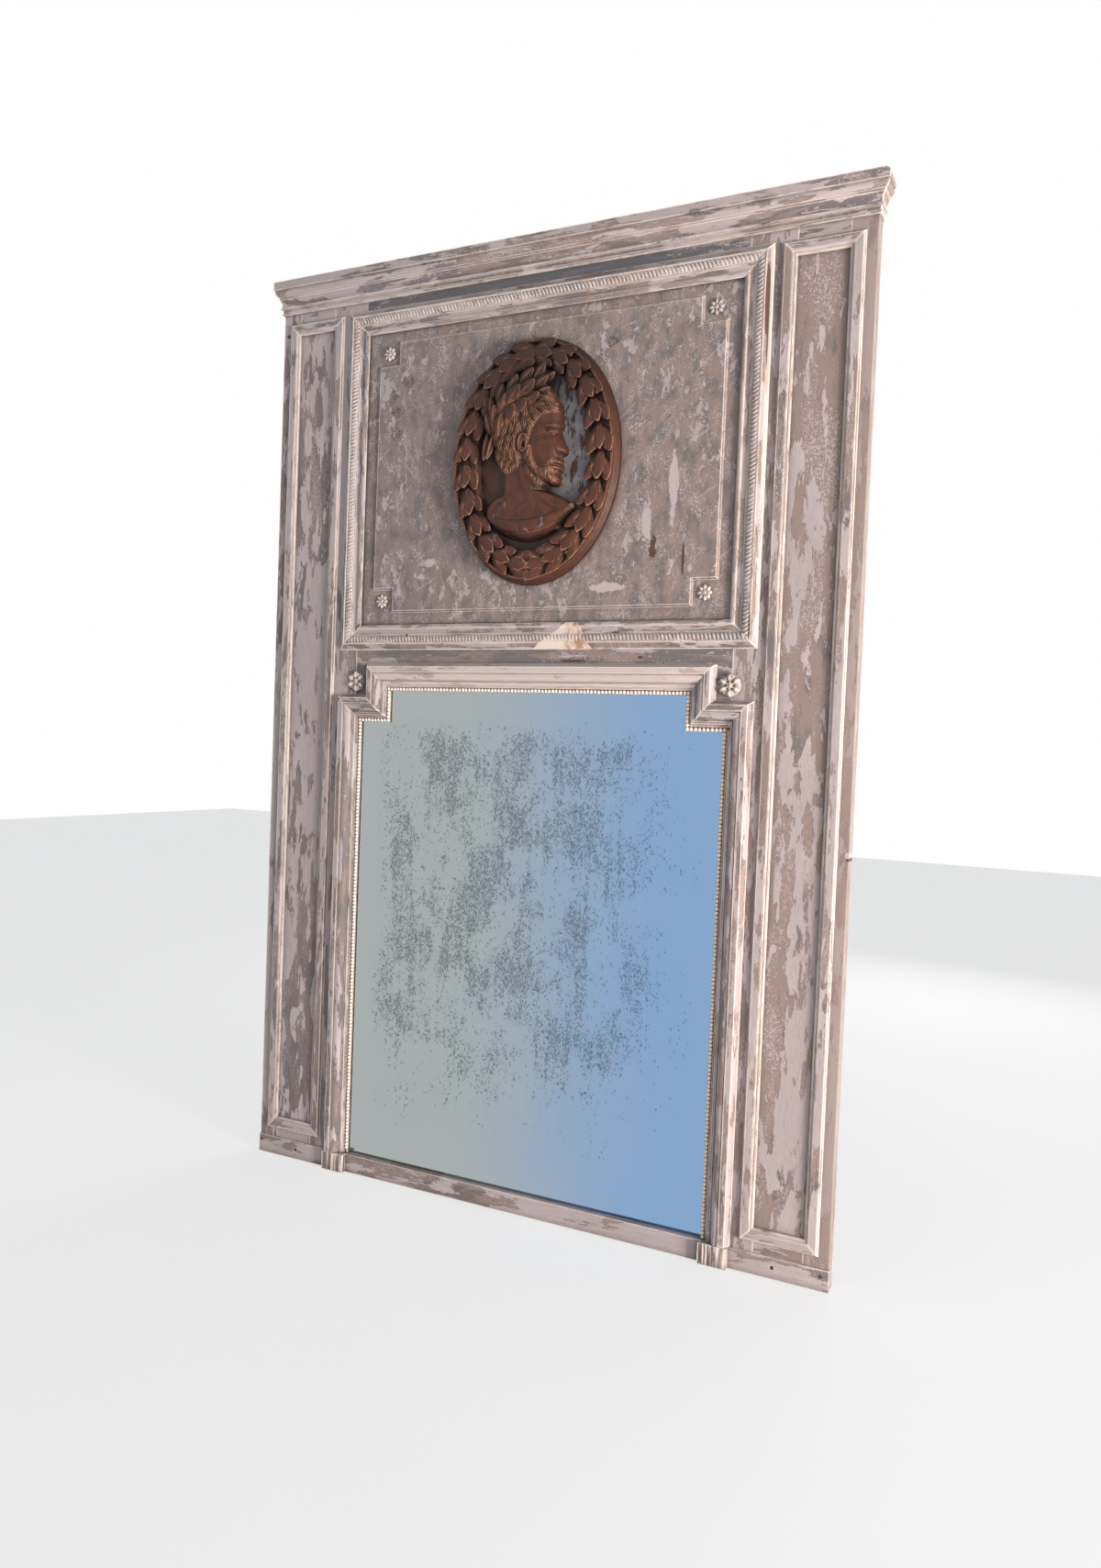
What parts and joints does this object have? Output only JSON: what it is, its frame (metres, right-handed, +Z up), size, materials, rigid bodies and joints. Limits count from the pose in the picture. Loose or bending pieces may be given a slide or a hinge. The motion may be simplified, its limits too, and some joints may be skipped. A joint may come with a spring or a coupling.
{
  "type": "trumeau mirror",
  "caption": "Tall painted wooden trumeau panel: a mirror in a stepped moulded frame under a fielded panel with an oval carved medallion, between narrow side panels under a cornice.",
  "frame": {"origin": "bottom centre of the object's bounding box", "axes": "+X to the right as seen from the front, +Y towards the wall behind, +Z up; the mirror looks along -Y"},
  "size_m": [1.369, 0.088, 2.01],
  "materials": {
    "painted_carcase": "worn layered paint",
    "painted_base": "worn layered paint",
    "painted_panel": "worn layered paint",
    "painted_moulding": "worn layered paint",
    "painted_cornice": "worn layered paint",
    "carved_wood": "dark stained wood with traces of paint",
    "bare_wood": "raw aged wood",
    "mirror": "foxed silvering",
    "iron": "rusted"
  },
  "bodies": {
    "root": {"backboard_1": "bare_wood", "backboard_2": "bare_wood", "backboard_3": "bare_wood", "backboard_nails": "iron", "base_board": "painted_base", "base_nails": "iron", "bust_relief": "carved_wood", "centre_bottom_rail": "painted_carcase", "centre_top_rail": "painted_carcase", "corner_rosette_lower_left": "carved_wood", "corner_rosette_lower_right": "carved_wood", "corner_rosette_upper_left": "carved_wood", "corner_rosette_upper_right": "carved_wood", "cornice_front": "painted_cornice", "cornice_return_left": "painted_cornice", "cornice_return_right": "painted_cornice", "hanging_plate_left": "iron", "hanging_plate_right": "iron", "inner_stile_left": "painted_carcase", "inner_stile_right": "painted_carcase", "laurel_wreath": "carved_wood", "medallion_plate": "carved_wood", "mid_rail": "painted_carcase", "mirror_blocks": "bare_wood", "mirror_frame_ear_left": "painted_moulding", "mirror_frame_ear_right": "painted_moulding", "mirror_frame_ear_upright_left": "painted_moulding", "mirror_frame_ear_upright_right": "painted_moulding", "mirror_frame_top": "painted_moulding", "mirror_frame_upright_left": "painted_moulding", "mirror_frame_upright_right": "painted_moulding", "mirror_plate": "mirror", "outer_stile_left": "painted_carcase", "outer_stile_right": "painted_carcase", "picture_frame_bottom": "painted_moulding", "picture_frame_side_left": "painted_moulding", "picture_frame_side_right": "painted_moulding", "picture_frame_top": "painted_moulding", "picture_panel": "painted_panel", "pilaster_frame_bottom_left": "painted_moulding", "pilaster_frame_bottom_right": "painted_moulding", "pilaster_frame_inner_left": "painted_moulding", "pilaster_frame_inner_right": "painted_moulding", "pilaster_frame_outer_left": "painted_moulding", "pilaster_frame_outer_right": "painted_moulding", "pilaster_frame_top_left": "painted_moulding", "pilaster_frame_top_right": "painted_moulding", "plate_nails": "iron", "plinth_block_left": "painted_base", "plinth_block_right": "painted_base", "round_rosette_left": "carved_wood", "round_rosette_right": "carved_wood", "side_bottom_rail_left": "painted_carcase", "side_bottom_rail_right": "painted_carcase", "side_panel_left": "painted_panel", "side_panel_right": "painted_panel", "side_top_rail_left": "painted_carcase", "side_top_rail_right": "painted_carcase"}
  },
  "joints": []
}
